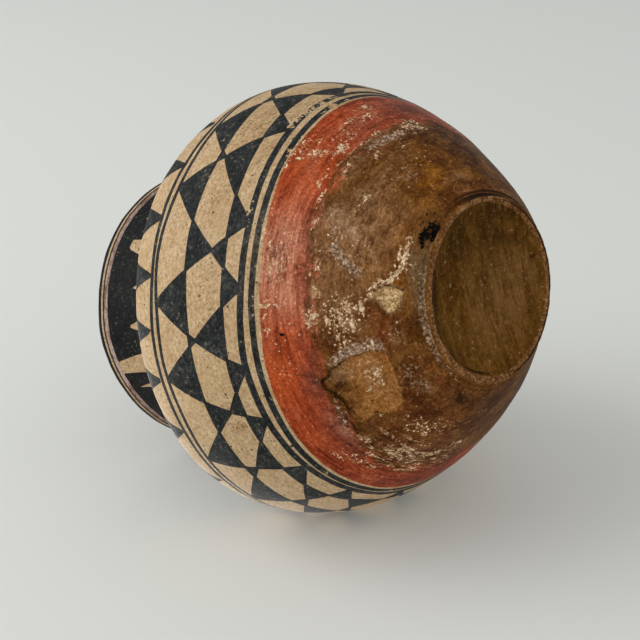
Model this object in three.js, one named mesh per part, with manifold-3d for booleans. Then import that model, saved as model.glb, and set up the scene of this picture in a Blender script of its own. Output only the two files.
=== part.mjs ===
// Polychrome pottery jar: a hand-built water jar with a hollowed base, a wide belly and a flared neck.
// Millimetres, +Z up to the mouth. The origin is on the axis, on the plane that the foot ring stands on.
import * as THREE from 'three';
import { mergeVertices } from 'three/addons/utils/BufferGeometryUtils.js';
import Module from 'manifold-3d';

// Overall sizes
const jarHeight = 274;
const bellyRadius = 140;
const bellyHeight = 145;

// Foot ring and hollowed base
const footRadius = 54.6;
const footRound = 1.8;
const footRingWidth = 3;
const footHeight = 4;
const bodyStep = 1.4;
const recessSide = 1.6;
const recessDepth = 8;
const baseThickness = 7;

// Shoulder, neck and lip
const shoulderRadius = 102;
const shoulderHeight = 201;
const neckRadius = 84.5;
const neckHeight = 228;
const mouthRadius = 95.5;
const lipThickness = 6;
const lipFlare = THREE.MathUtils.degToRad(25);

// Wall
const wallThickness = 6.5;

// Lost patch of the surface on the lower body, facing +X
const spallHeight = 35;
const spallDepth = 2.2;
const spallOutline = [
  [18, 10.5], [19.5, -1], [17, -13.5], [13.5, -18.5], [9, -20], [-1, -19.5], [-12.5, -18], [-20, -13],
  [-24.5, -6], [-18.5, 3.5], [-23.5, 12], [-22, 15.5], [-13.5, 16], [-5, 16.5], [6.5, 21.5], [14, 20.5],
];

// Small shallow losses: turn from +X, height, width across and depth
const chips = [
  { turn: 32.5, height: 16, width: 17, depth: 1.4 },
  { turn: 115, height: 7.5, width: 7, depth: 1 },
];

// How finely the turned form is divided
const turnSteps = 54;

const wasm = await Module();
wasm.setup();

const point = (r, h) => new THREE.Vector2(r, h);
const bezier = (...p) => new THREE.CubicBezierCurve(...p);

// Outside of the jar, foot to lip. The handles are shares of the span that each curve covers.
const foot = point(footRadius + bodyStep, footHeight);
const belly = point(bellyRadius, bellyHeight);
const shoulder = point(shoulderRadius, shoulderHeight);
const neck = point(neckRadius, neckHeight);
const lipAlong = point(Math.sin(lipFlare), Math.cos(lipFlare));
const lipOut = point(lipAlong.y, -lipAlong.x);
const lipCentre = point(mouthRadius - lipThickness / 2, jarHeight - lipThickness / 2);
const lipStart = lipCentre.clone().addScaledVector(lipOut, lipThickness / 2);

const lowerSpan = belly.clone().sub(foot);
const upperSpan = shoulder.clone().sub(belly);
const neckSpan = neck.clone().sub(shoulder);
const lipSpan = lipStart.clone().sub(neck);

const lowerCurve = bezier(
  foot,
  point(foot.x + 0.382 * lowerSpan.x, foot.y + 0.178 * lowerSpan.y),
  point(belly.x, belly.y - 0.382 * lowerSpan.y),
  belly,
);
const upperCurve = bezier(
  belly,
  point(belly.x, belly.y + 0.532 * upperSpan.y),
  point(shoulder.x - 0.711 * upperSpan.x, shoulder.y - 0.493 * upperSpan.y),
  shoulder,
);
const neckCurve = bezier(
  shoulder,
  point(shoulder.x + 0.55 * neckSpan.x, shoulder.y + 0.36 * neckSpan.y),
  point(neck.x, neck.y - 0.45 * neckSpan.y),
  neck,
);
const lipCurve = bezier(
  neck,
  point(neck.x, neck.y + 0.4 * lipSpan.y),
  lipStart.clone().addScaledVector(lipAlong, -0.35 * lipSpan.y),
  lipStart,
);

// Point of a profile curve, moved inwards by the wall that stands behind it
function inset(curve, t, wall) {
  const along = curve.getTangent(t);
  return curve.getPoint(t).add(point(-along.y, along.x).multiplyScalar(wall));
}

// Points along a curve from share t0 to share t1, both ends included, at a wall that may change
function run(curve, t0, t1, steps, wallAt = () => 0) {
  const points = [];
  for (let i = 0; i <= steps; i++) {
    const t = THREE.MathUtils.lerp(t0, t1, i / steps);
    points.push(inset(curve, t, wallAt(t)));
  }
  return points;
}

// Drops a point that repeats the one before it, where two curves meet
function joined(points) {
  return points.filter((p, i) => i === 0 || p.distanceTo(points[i - 1]) > 0.01);
}

function footPoints() {
  const flatOuter = footRadius - footRound;
  const round = new THREE.EllipseCurve(
    flatOuter, footRound, footRound, footRound, -Math.PI / 2, 0, false,
  );
  return [point(flatOuter - footRingWidth, 0), ...round.getPoints(3), point(footRadius, footHeight - 1)];
}

function recessPoints() {
  const edge = footRadius - footRound - footRingWidth;
  const dome = bezier(
    point(0, recessDepth),
    point(0.45 * edge, recessDepth),
    point(0.86 * edge, recessSide + 0.5 * (recessDepth - recessSide)),
    point(edge - 0.6 * recessSide, recessSide),
  );
  return dome.getPoints(5);
}

function lipPoints() {
  const points = [];
  for (let i = 1; i < 6; i++) {
    const turn = (i / 6) * Math.PI;
    points.push(
      lipCentre.clone()
        .addScaledVector(lipOut, Math.cos(turn) * lipThickness / 2)
        .addScaledVector(lipAlong, Math.sin(turn) * lipThickness / 2),
    );
  }
  return points;
}

// Inner floor, from the axis out to where the wall's inside begins
function floorPoints(joinAt) {
  const join = inset(lowerCurve, joinAt, wallThickness);
  const along = lowerCurve.getTangent(joinAt);
  const floorHeight = recessDepth + baseThickness;
  return bezier(
    point(0, floorHeight),
    point(0.55 * join.x, floorHeight),
    join.clone().addScaledVector(along, -0.25 * join.x),
    join,
  ).getPoints(5);
}

function jarProfile() {
  const wall = () => wallThickness;
  const lipWall = (t) => THREE.MathUtils.lerp(wallThickness, lipThickness, t);
  const wallStart = 0.2;
  return joined([
    ...recessPoints(),
    ...footPoints(),
    ...run(lowerCurve, 0, 1, 14),
    ...run(upperCurve, 0, 1, 10),
    ...run(neckCurve, 0, 1, 4),
    ...run(lipCurve, 0, 1, 5),
    ...lipPoints(),
    ...run(lipCurve, 1, 0, 4, lipWall),
    ...run(neckCurve, 1, 0, 3, wall),
    ...run(upperCurve, 1, 0, 8, wall),
    ...run(lowerCurve, 1, wallStart, 9, wall),
    ...floorPoints(wallStart).reverse(),
  ]);
}

// Closed body of the lower outside, set back from the surface, that the lost patch stops at
function spallFloorProfile() {
  const face = run(lowerCurve, 0.02, 0.85, 12, () => spallDepth);
  return [point(0, face[0].y), ...face, point(0, face[face.length - 1].y)];
}

function turned(profile) {
  return new THREE.LatheGeometry(profile, turnSteps).rotateX(Math.PI / 2);
}

function toSolid(geometry) {
  const bare = geometry.clone();
  bare.deleteAttribute('normal');
  bare.deleteAttribute('uv');
  const merged = mergeVertices(bare, 1e-3);
  const mesh = new wasm.Mesh({
    numProp: 3,
    vertProperties: new Float32Array(merged.attributes.position.array),
    triVerts: new Uint32Array(merged.index.array),
  });
  mesh.merge();
  return new wasm.Manifold(mesh);
}

function toGeometry(solid) {
  const mesh = solid.getMesh();
  const geometry = new THREE.BufferGeometry();
  geometry.setAttribute('position', new THREE.BufferAttribute(mesh.vertProperties, 3));
  geometry.setIndex(new THREE.BufferAttribute(mesh.triVerts, 1));
  return geometry;
}

// Place on the lower body at a height and a turn from +X: the point, and the ways across, up and out
function placeOnBody(height, turn) {
  let low = 0;
  let high = 1;
  for (let i = 0; i < 40; i++) {
    const middle = (low + high) / 2;
    if (lowerCurve.getPoint(middle).y < height) low = middle;
    else high = middle;
  }
  const at = lowerCurve.getPoint(low);
  const along = lowerCurve.getTangent(low);
  const spin = new THREE.Matrix4().makeRotationZ(turn);
  const across = new THREE.Vector3(0, 1, 0).applyMatrix4(spin);
  const up = new THREE.Vector3(along.x, 0, along.y).applyMatrix4(spin);
  const out = new THREE.Vector3().crossVectors(across, up);
  const place = new THREE.Vector3(at.x, 0, at.y).applyMatrix4(spin);
  return new THREE.Matrix4().makeBasis(across, up, out).setPosition(place);
}

// The lost patch: its outline, as deep as the surface layer that came off
function spallTool() {
  const outline = new THREE.Shape(spallOutline.map(([across, up]) => point(across, up)));
  const reach = 6 * spallDepth;
  const prism = new THREE.ExtrudeGeometry(outline, { depth: 2 * reach, bevelEnabled: false });
  prism.translate(0, 0, -reach).applyMatrix4(placeOnBody(spallHeight, 0));
  return toSolid(prism).subtract(toSolid(turned(spallFloorProfile())));
}

function chipTool({ turn, height, width, depth }) {
  const radius = (width * width / 4 + depth * depth) / (2 * depth);
  const ball = new THREE.SphereGeometry(radius, 36, 24);
  ball.translate(0, 0, radius - depth);
  ball.applyMatrix4(placeOnBody(height, THREE.MathUtils.degToRad(turn)));
  return toSolid(ball);
}

function jarGeometry() {
  let solid = toSolid(turned(jarProfile())).subtract(spallTool());
  for (const chip of chips) solid = solid.subtract(chipTool(chip));
  return toGeometry(solid);
}

const jar = new THREE.Mesh(
  jarGeometry(),
  new THREE.MeshStandardMaterial({ color: 0xc2a47c, roughness: 0.55, metalness: 0 }),
);
jar.name = 'jar';

const group = new THREE.Group();
group.add(jar);

export default group;
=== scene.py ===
import math

import bpy
import numpy as np
from mathutils import Matrix, Vector


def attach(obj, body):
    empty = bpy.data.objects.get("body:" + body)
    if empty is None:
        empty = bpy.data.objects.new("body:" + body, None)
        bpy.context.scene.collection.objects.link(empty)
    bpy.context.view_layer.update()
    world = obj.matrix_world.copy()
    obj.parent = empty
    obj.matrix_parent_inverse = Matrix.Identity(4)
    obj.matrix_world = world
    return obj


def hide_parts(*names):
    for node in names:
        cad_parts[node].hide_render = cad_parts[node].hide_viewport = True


# Painted pottery jar, worn and chipped. Sizes are millimetres, turns are degrees round the axis from +X,
# heights are above the foot. Everything goes into Blender in metres at the end.
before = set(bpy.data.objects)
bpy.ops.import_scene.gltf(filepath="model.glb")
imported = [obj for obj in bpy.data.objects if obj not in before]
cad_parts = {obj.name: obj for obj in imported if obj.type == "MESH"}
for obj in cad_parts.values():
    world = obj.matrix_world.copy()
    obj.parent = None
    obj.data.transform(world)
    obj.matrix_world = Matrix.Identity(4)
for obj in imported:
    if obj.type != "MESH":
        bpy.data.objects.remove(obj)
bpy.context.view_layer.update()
mm = 0.001
print("Frame loaded")


def tone(red, green, blue):
    # screen colour 0-255 to Blender's linear colour
    parts = []
    for value in (red, green, blue):
        c = value / 255
        parts.append(c / 12.92 if c <= 0.04045 else ((c + 0.055) / 1.055) ** 2.4)
    return (parts[0], parts[1], parts[2], 1.0)


# Camera and the table that the jar lies on. The jar stays upright, so the table leans to meet it.
shot = {
    "spot": (506.5, 357.3, -556.8),
    "aim": (31.1, 4.7, 121.2),
    "tableUp": (-0.3414, 0.8800, -0.3301),
    "tableDrop": 180.0,  # from the origin down to the table, along tableUp
    "lens": 80.1,
    "turn": 35.2,  # where the camera stands round the jar's axis
}


def makeCamera():
    spot = Vector(shot["spot"])
    ahead = (Vector(shot["aim"]) - spot).normalized()
    right = ahead.cross(Vector(shot["tableUp"])).normalized()
    up = right.cross(ahead)
    camera = bpy.data.objects.new("camera", bpy.data.cameras.new("camera"))
    bpy.context.scene.collection.objects.link(camera)
    turn = Matrix((right, up, -ahead)).transposed().to_4x4()
    camera.matrix_world = Matrix.Translation(spot * mm) @ turn
    camera.data.lens = shot["lens"]
    camera.data.sensor_width = 36
    camera.data.clip_start = 0.01
    camera.data.clip_end = 50
    bpy.context.scene.camera = camera
    return right, ahead


cameraRight, cameraAhead = makeCamera()
print("Camera placed")


# Form of the jar: radius and height of the places that its outline runs through
form = {
    "height": 274,
    "belly": (140, 145),
    "bodyRoot": (56, 4),  # where the body's curve starts, inside the crease
    "bodyStart": (56.4, 4.3),
    "shoulder": (102, 201),
    "neck": (84.5, 228),
    "mouth": 95.5,
    "lip": 6,
    "flare": 25,  # degrees that the lip leans out
    "wall": 6.5,
    "recess": 8,  # depth of the hollowed base
    "recessEdge": (48.6, 1.9),
    "footRing": [(50.2, 1.3), (50.7, 0.0), (52.3, 0.0), (53.8, 0.1), (54.5, 1.4), (54.6, 2.8), (54.1, 3.7),
                 (55.0, 4.2)],
    "floor": 15,  # height of the inner floor
    "floorJoin": 34,  # height where the inner floor meets the wall
    "closeRings": (17.5, 60),  # heights between which the rings lie close, for the lost patch
    "ovalShare": 0.0098,  # the jar is a little wider at turn -19 and 161
    "ovalTurn": -19,
    "footOval": 1.9,  # mm that the foot ring is out of round
    "unevenness": 0.34,  # hand-built surface, mm
}

# Rings of points along each stretch of the outline, foot to lip to inside
rings = {"recess": 17, "foot": 15, "low": 13, "spall": 50, "painted": 82, "shoulder": 33,
         "neck": 9, "flare": 20, "lip": 9, "inside": 20, "innerFloor": 6}


def curveThrough(p0, p1, p2, p3, steps):
    t = np.linspace(0, 1, steps + 1)[:, None]
    corners = [np.array(p, float) for p in (p0, p1, p2, p3)]
    weights = [(1 - t) ** 3, 3 * t * (1 - t) ** 2, 3 * t * t * (1 - t), t ** 3]
    return sum(w * c for w, c in zip(weights, corners))


def evenly(points, steps):
    # same line, with its points at equal distances
    way = np.concatenate([[0], np.cumsum(np.hypot(*np.diff(points, axis=0).T))])
    wanted = np.linspace(0, way[-1], steps + 1)
    return np.column_stack([np.interp(wanted, way, points[:, 0]), np.interp(wanted, way, points[:, 1])])


def softened(corners, steps):
    # a rounded line past a few corners
    points = np.array(corners, float)
    for _ in range(3):
        near = points[:-1] * 0.75 + points[1:] * 0.25
        far = points[:-1] * 0.25 + points[1:] * 0.75
        cut = np.empty((2 * len(near), 2))
        cut[0::2] = near
        cut[1::2] = far
        points = np.vstack([points[:1], cut, points[-1:]])
    return evenly(points, steps)


def setIn(line, wall):
    # the line moved inwards by the wall
    along = np.gradient(line, axis=0)
    along /= np.hypot(*along.T)[:, None]
    return line + np.column_stack([-along[:, 1], along[:, 0]]) * np.reshape(wall, (-1, 1))


def jarOutline():
    # points of the whole outline, with the name of the stretch that each belongs to
    corners = [form[name] for name in ("bodyRoot", "belly", "shoulder", "neck")]
    start, belly, shoulder, neck = np.array(corners, float)
    lean = math.radians(form["flare"])
    lipAlong = np.array([math.sin(lean), math.cos(lean)])
    lipOut = np.array([lipAlong[1], -lipAlong[0]])
    half = form["lip"] / 2
    lipCentre = np.array([form["mouth"] - half, form["height"] - half])
    lipStart = lipCentre + lipOut * half
    low, high, rise, tip = belly - start, shoulder - belly, neck - shoulder, lipStart - neck

    # the handles of each curve are shares of the span that it covers
    recess = curveThrough((0, form["recess"]), (22.4, form["recess"]), (42.8, 4.8), form["recessEdge"], 60)
    foot = softened([form["recessEdge"], *form["footRing"], form["bodyStart"]], rings["foot"])
    body = curveThrough(start, start + low * (0.382, 0.178), belly - (0, 0.382 * low[1]), belly, 400)
    upper = curveThrough(
        belly, belly + (0, 0.532 * high[1]), shoulder - high * (0.711, 0.493), shoulder, 200)
    throat = curveThrough(shoulder, shoulder + rise * (0.55, 0.36), neck - (0, 0.45 * rise[1]), neck, 60)
    flare = curveThrough(neck, neck + (0, 0.4 * tip[1]), lipStart - lipAlong * 0.35 * tip[1], lipStart, 60)
    arc = np.linspace(0, math.pi, rings["lip"] + 1)
    lip = lipCentre + half * (np.cos(arc)[:, None] * lipOut + np.sin(arc)[:, None] * lipAlong)

    body = body[body[:, 1] >= form["bodyStart"][1]]
    closeFrom, closeTo = form["closeRings"]
    lowPart = body[body[:, 1] <= closeFrom]
    spallPart = body[(body[:, 1] >= lowPart[-1, 1]) & (body[:, 1] <= closeTo)]
    paintedPart = body[body[:, 1] >= spallPart[-1, 1]]
    outer = np.vstack([body, upper[1:], throat[1:], flare[1:]])
    thin = np.interp(outer[:, 1], [neck[1], lipStart[1]], [form["wall"], form["lip"]])
    inner = setIn(outer, thin)[::-1]
    inner = inner[inner[:, 1] > form["floorJoin"]]
    innerFloor = curveThrough(inner[-1], inner[-1] - (14, 13), (44, form["floor"]), (0, form["floor"]), 80)

    lines = {"recess": recess, "foot": foot, "low": lowPart, "spall": spallPart, "painted": paintedPart,
             "shoulder": upper, "neck": throat, "flare": flare, "lip": lip, "inside": inner,
             "innerFloor": innerFloor}
    points, names = [], []
    for name, line in lines.items():
        if name not in ("foot", "lip"):
            line = evenly(line, rings[name])
        line = line[0 if not points else 1:]
        points.extend(line)
        names.extend([name] * len(line))
    return np.array(points), np.array(names)


outline, stretch = jarOutline()
outline, stretch = outline[1:-1], stretch[1:-1]  # the two middles are single points
wayAlong = np.concatenate([[0], np.cumsum(np.hypot(*np.diff(outline, axis=0).T))]) + outline[0, 0]
outside = np.isin(stretch, ["low", "spall", "painted", "shoulder", "neck", "flare"])

# Columns: close together across the lost patch, wider elsewhere
closeTurns = np.arange(-18, 15, 0.5)
wideTurns = np.linspace(15, 342, 296, endpoint=False)
columns = np.concatenate([closeTurns, wideTurns])
turns, heights = np.meshgrid(columns, outline[:, 1])
radii = np.repeat(outline[:, :1], len(columns), axis=1)
ways = np.repeat(wayAlong[:, None], len(columns), axis=1)
onOutside = np.repeat(outside[:, None], len(columns), axis=1)
halving = 0.693  # makes a soft mark half as strong at its edge
print("Outline:", len(outline), "rings of", len(columns), "points")


def within(*names):
    # whether each ring belongs to one of these stretches
    return np.isin(stretch, names)[:, None]


def wayAt(height):
    # how far along the outline a height on the outside is
    return np.interp(height, outline[outside, 1], wayAlong[outside])


def radiusAt(height):
    return np.interp(height, outline[outside, 1], outline[outside, 0])


def turnFrom(turn):
    # turns of all points as seen from this one, -180 to 180
    return (turns - turn + 180) % 360 - 180


def facing(turn):
    # 1 on this side of the jar, -1 on the other
    return np.cos(np.radians(turns - turn))


def bell(value, width, power=2):
    # 1 where the value is 0, and fades over the width
    return np.exp(-(value / width) ** power)


def smoothStep(x, low, high):
    t = np.clip((x - low) / (high - low), 0, 1)
    return t * t * (3 - 2 * t)


def spot(turn, height, across, up, lean=0.0):
    # soft-edged oval on the outside: 1 in its middle, 0.5 at its edge. Lean turns it counter-clockwise.
    dx = np.radians(turnFrom(turn)) * radiusAt(height)
    dy = ways - wayAt(height)
    c, s = math.cos(math.radians(lean)), math.sin(math.radians(lean))
    far = np.hypot((dx * c + dy * s) / across, (dy * c - dx * s) / up) * 2
    return np.where(onOutside, np.exp(-halving * far ** 2), 0)


def marks(places):
    # the strongest of several soft ovals
    field = np.zeros_like(turns)
    for turn, height, across, up, strength, *lean in places:
        field = np.maximum(field, strength * spot(turn, height, across, up, *lean))
    return field


def stroke(places, width, strength):
    # soft line through several places, each a turn and a height
    field = np.zeros_like(turns)
    for (turnA, heightA), (turnB, heightB) in zip(places[:-1], places[1:]):
        radius = radiusAt((heightA + heightB) / 2)
        ax = np.radians(turnFrom(turnA)) * radius
        ay = ways - wayAt(heightA)
        bx = math.radians(turnB - turnA) * radius
        by = wayAt(heightB) - wayAt(heightA)
        share = np.clip((ax * bx + ay * by) / (bx * bx + by * by), 0, 1)
        far = np.hypot(ax - share * bx, ay - share * by)
        field = np.maximum(field, strength * np.exp(-halving * (2 * far / width) ** 2))
    return np.where(onOutside, field, 0)


def roundJar(places):
    # a height that changes smoothly round the jar, given at a few turns
    at, values = zip(*places)
    degrees = np.arange(360)
    smooth, lap = 9, 20
    line = np.interp(degrees, at, values, period=360)
    line = np.concatenate([line[-lap:], line, line[:lap]])
    line = np.convolve(line, np.ones(smooth) / smooth, "same")[lap:-lap]
    return np.interp(columns, degrees, line, period=360)


# Lost patch of the surface: its edge (mm across and up from its middle) and how deep it goes
lostPatch = {
    "height": 35,
    "edge": [(18, 10.5), (19.3, 4), (19.5, -1), (18, -8), (17, -13.5), (13.5, -18.5), (9, -20), (4, -20),
             (-1, -19.5), (-12.5, -18), (-17, -15.6), (-20, -13), (-24.5, -6), (-24, -2), (-18.5, 3.5),
             (-20.2, 7), (-23.5, 12), (-22, 15.5), (-17, 16.4), (-13.5, 15.8), (-9, 17), (-5, 16.5),
             (0, 18.6), (6.5, 21.5), (11, 21.6), (14, 20.5), (14.6, 17), (17.2, 14)],
    "depthHigh": 2.9,  # towards the belly
    "depthLow": 0.9,  # towards the foot
    "rough": 0.3,
}

# Small losses: turn, height, width across, width up, depth
dents = [(32.8, 15.6, 16.5, 13, 2.0), (115, 7.5, 7, 4, 0.9), (1, 17, 3.4, 1.3, 0.8),
         (25.4, 64, 5.5, 0.9, 0.25), (20, 71.5, 2.4, 1.6, 0.2), (-9, 83.4, 2, 1.6, 0.3)]


def insideEdge(x, y, edge):
    # distance in from a closed edge, minus outside it
    nearest = np.full_like(x, 1e9)
    inEdge = np.zeros(x.shape, bool)
    for (ax, ay), (bx, by) in zip(edge, edge[1:] + edge[:1]):
        dx, dy = bx - ax, by - ay
        share = np.clip(((x - ax) * dx + (y - ay) * dy) / (dx * dx + dy * dy), 0, 1)
        nearest = np.minimum(nearest, np.hypot(x - ax - share * dx, y - ay - share * dy))
        crosses = (ay > y) != (by > y)
        inEdge ^= crosses & (x < ax + (y - ay) * dx / (dy if dy else 1e-9))
    return np.where(inEdge, nearest, -nearest)


def ripple(seed, roundCount, upLength, count=14):
    # smooth unevenness, about -1 to 1, that closes on itself round the jar
    chance = np.random.default_rng(seed)
    field = np.zeros_like(turns)
    for _ in range(count):
        waves = chance.integers(1, roundCount + 1)
        climb = chance.uniform(-1, 1) * 2 * math.pi / upLength
        start = chance.uniform(0, 2 * math.pi)
        field += np.sin(np.radians(turns) * waves + ways * climb + start)
    return field / math.sqrt(count / 2)


bodyWay = wayAt(form["bodyStart"][1])
patchX = np.radians(turnFrom(0)) * radii
patchY = ways - wayAt(lostPatch["height"])
edgeWander = 0.5 * ripple(5, 90, 9, 30) + 0.3 * ripple(6, 180, 4, 30)
patchIn = insideEdge(patchX, patchY, lostPatch["edge"]) + 0.6 * edgeWander
patchIn = np.where(within("low", "spall", "painted"), np.clip(patchIn, -12, 12), -12)


def shapedPoints():
    # the turned form, then everything that isn't turned about it
    across = radii.copy()
    up = heights.copy()
    angle = np.radians(turns)
    oval = np.cos(2 * np.radians(turns - form["ovalTurn"]))
    foot = within("foot")
    recess = within("recess")
    lower = np.clip((heights - 4) / 40, 0, 1)
    across += oval * (form["ovalShare"] * radii * lower + form["footOval"] * (1 - lower) * (radii / 55))
    hand = ripple(1, 4, 160) + 0.5 * ripple(2, 9, 70) + 0.28 * ripple(3, 22, 34) + 0.12 * ripple(4, 48, 17)
    inner = within("inside", "innerFloor")
    out = form["unevenness"] * hand * np.where(inner, 1.5, np.where(foot | recess, 0.5, 1))

    # lost patch: steep at its edge, deepest towards the belly, with a rough floor
    slope = smoothStep(patchY, -16, 16)
    depth = lostPatch["depthLow"] + (lostPatch["depthHigh"] - lostPatch["depthLow"]) * slope
    depth += 0.7 * spot(-1, 47, 17, 10) * smoothStep(patchIn, 0, 3)
    grain = 0.6 * ripple(11, 60, 9, 24) + 0.5 * ripple(12, 160, 4, 30)
    depth += lostPatch["rough"] * grain
    steep = np.where(patchX - 0.4 * patchY > 5, 1.0, 2.0)
    out -= depth * smoothStep(patchIn, -0.2, steep)
    out += 0.25 * bell(patchIn + 0.9, 0.8) * smoothStep(patchX, 2, 12)  # lifted edge

    for turn, height, wide, tall, deep in dents:
        reach = spot(turn, height, wide, tall)
        bowl = smoothStep(reach, 0.42, 0.74)
        out -= deep * bowl * (1 + 0.12 * ripple(21, 140, 5, 20))

    # foot ring: a crease outside it, deeper at the far side, a little unevenness and a lump stuck to it
    fromBody = ways - bodyWay
    crease = bell(fromBody + 1.1, 0.7) * within("foot", "low")
    creaseTurn = 0.15 + 1.1 * bell(turnFrom(135), 45) + 0.4 * bell(turnFrom(20), 20)
    out -= 0.9 * crease * creaseTurn
    lumps = ripple(31, 40, 30, 24) * 0.5 + ripple(32, 110, 12, 24) * 0.35
    out += np.where(foot, 0.14 * lumps, 0)
    raised = np.where(foot, 0.07 * (1 + np.clip(ripple(33, 30, 40, 20), -1, 2)), 0)
    out += 1.1 * bell(turnFrom(103), 5) * bell(fromBody, 2.2)

    # strokes left in the hollowed base by the smoothing tool
    x, y = radii * np.cos(angle), radii * np.sin(angle)
    level = 0.22 * np.sin(x * 0.21 + y * 0.07 + 0.8 * np.sin(y * 0.05)) + 0.12 * np.sin(x * 0.63 - y * 0.11)
    up += np.where(recess, (level + 0.25 * hand) * np.clip((49 - radii) / 8, 0, 1), 0)
    up += raised * np.clip((3 - heights) / 3, 0, 1)

    # the lip rises and falls a little, above a shallow groove
    lipWave = within("flare", "lip", "inside") * np.clip((heights - form["neck"][1]) / 44, 0, 1)
    up += lipWave * (0.7 * np.sin(2 * angle + 0.6) + 0.4 * np.sin(5 * angle) + 1.6)
    out -= np.where(within("flare"), 0.45 * bell(heights - 264.4, 0.9), 0)

    slopeWay = np.gradient(outline, axis=0)
    slopeWay /= np.hypot(*slopeWay.T)[:, None]
    across += out * slopeWay[:, 1][:, None]
    up -= out * slopeWay[:, 0][:, None]
    return np.stack([across * np.cos(angle), across * np.sin(angle), up], axis=-1)


points = shapedPoints()
print("Surface shaped")


# Painted bands. The lines that run round the jar are given every 10 to 30 degrees, and each wanders as the
# hand did.
bands = {
    "highLine": [(-44, 151), (-30, 149.6), (-22.5, 148.4), (-12.5, 147), (2.5, 146), (17.5, 146.8),
                 (30, 146.2), (41, 144.8), (47, 145.8), (65, 145.6), (77.5, 144.6), (87.5, 145.4),
                 (100, 147), (125, 147.5), (160, 146), (200, 147), (235, 145), (270, 147), (300, 149)],
    "highLine2": [(-44, 146.4), (-30, 145), (-22.5, 143), (-10, 142), (2.5, 140), (10, 139.6), (20, 141),
                  (30, 140), (40, 141), (47, 142.2), (52.5, 141.4), (65, 139.2), (77.5, 139.2), (87.5, 141),
                  (100, 143.6), (125, 143), (160, 141.5), (200, 142.5), (235, 141), (270, 143), (300, 145)],
    "hexTop": [(-47, 122), (-30, 120.4), (-14, 118.4), (2.5, 117.6), (26, 116.4), (46, 117.6), (60, 118.8),
               (75, 119), (90, 122), (101, 124.6), (115, 127), (145, 124), (180, 119), (220, 120),
               (255, 118), (290, 121)],
    "hexFoot": [(-45, 97), (-35, 99), (-19, 98), (-1, 96.4), (10, 95.6), (27.5, 93.6), (44, 92.6),
                (57.5, 94), (70, 96.4), (84, 99.6), (96, 102), (107.5, 105), (140, 101), (180, 97),
                (220, 98), (255, 96), (290, 97)],
    "lowLine": [(-36, 86.6), (-17.5, 86), (2.5, 86), (17.5, 85.4), (37.5, 82), (57.5, 82.4), (77.5, 86),
                (90, 89), (106, 92), (121, 93), (150, 90), (185, 87), (225, 88), (260, 85.5), (295, 87)],
    "lowLine2": [(-36, 82.6), (-17.5, 81.6), (0, 80), (17.5, 78.4), (27.5, 77), (46, 76), (65, 77.4),
                 (77.5, 79.6), (90, 82), (106, 85.6), (125, 88), (150, 85), (185, 82), (225, 83), (260, 81),
                 (295, 82.6)],
    "redTop": [(-50, 79.4), (-35, 79), (-17.5, 78), (2.5, 76.6), (17.5, 74.6), (27.5, 72.6), (46, 71.8),
               (65, 74.4), (77.5, 77.4), (90, 78.8), (106, 82), (127, 85.6), (150, 82), (185, 79), (225, 80),
               (260, 78), (295, 79)],
    "redFoot": [(-55, 58), (-35, 60), (-24, 56), (-12, 52), (0, 50), (14, 48), (30, 48), (45, 46), (60, 50),
                (80, 51), (100, 51), (120, 55), (150, 52), (190, 47), (230, 52), (270, 49)],
}
lineHalf = {"highLine": 1.6, "highLine2": 1.45, "lowLine": 1.85, "lowLine2": 1.7}

# Lattice between the two pairs of lines: where the sloping lines cross, and where they meet the lines
# above and below
lattice = {
    "crossings": [(-47, 112), (-31, 111), (-12, 111.4), (6.2, 103.4), (26, 112.4), (48.8, 101), (75.6, 115),
                  (100, 120), (124, 112), (144, 113), (163, 106), (182, 111), (201, 109), (220, 113),
                  (239, 105), (258, 110), (277, 112), (295, 111)],
    "tops": [-44, -24.6, -6.8, 17, 36, 66, 86, 109, 134, 153, 172, 192, 210, 230, 248, 268, 286, 303],
    "feet": [-36, -17.5, 1.5, 17, 38.8, 57, 90, 113, 134, 153, 173, 191, 211, 229, 249, 267, 286, 303],
    "lineHalf": 1.0,
}

# Black teeth on the shoulder: the turn and height of each point
teeth = {
    "tips": [(-31, 152), (-15.6, 150.6), (2.5, 146), (16.7, 146), (29, 146), (42.7, 144), (57.5, 142.2),
             (72.7, 142), (88.4, 146), (103, 147.5), (118, 148), (133, 147), (148, 146.5), (163, 146),
             (178, 147), (193, 147.5), (208, 146.5), (223, 146), (238, 145.5), (253, 146.5), (268, 147),
             (283, 148), (298, 149.5), (313.5, 151)],
    "joinHeight": 181,
    "bandFoot": 183,
    "lightLine": 210,  # fine line left in the black above them
}

# Light shapes left in the black of the neck: turn and height of the point, width of its blunt end, and the
# turns of its two lower corners
neckShapes = [
    (-19, 257, 0, -25.5, -13.5), (-1.8, 260, 0, -8.5, 0.6), (9, 263.6, 5.6, 2.4, 16),
    (26.5, 250, 0, 19, 34.5), (44, 246.5, 0, 38, 50), (64, 254.5, 4.5, 53, 69.5), (78.5, 257, 0, 72, 86),
    (96, 255, 0, 89, 103), (114, 258, 3, 106, 121), (132, 254, 0, 125, 139), (150, 257, 0, 142, 156),
    (167, 256, 3.5, 160, 175), (185, 254, 0, 178, 192), (203, 258, 0, 195, 210), (221, 255, 4, 213, 228),
    (239, 256, 0, 231, 246), (257, 254, 0, 249, 264), (275, 258, 3, 267, 282), (293, 256, 0, 285, 300),
    (315, 255, 0, 304, 325),
]
neckBand = {"foot": 216, "blackTop": 264.6, "brownTop": 267.4, "darkLine": 267.5, "lineTop": 269.15,
            "insideBlack": 13}


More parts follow.
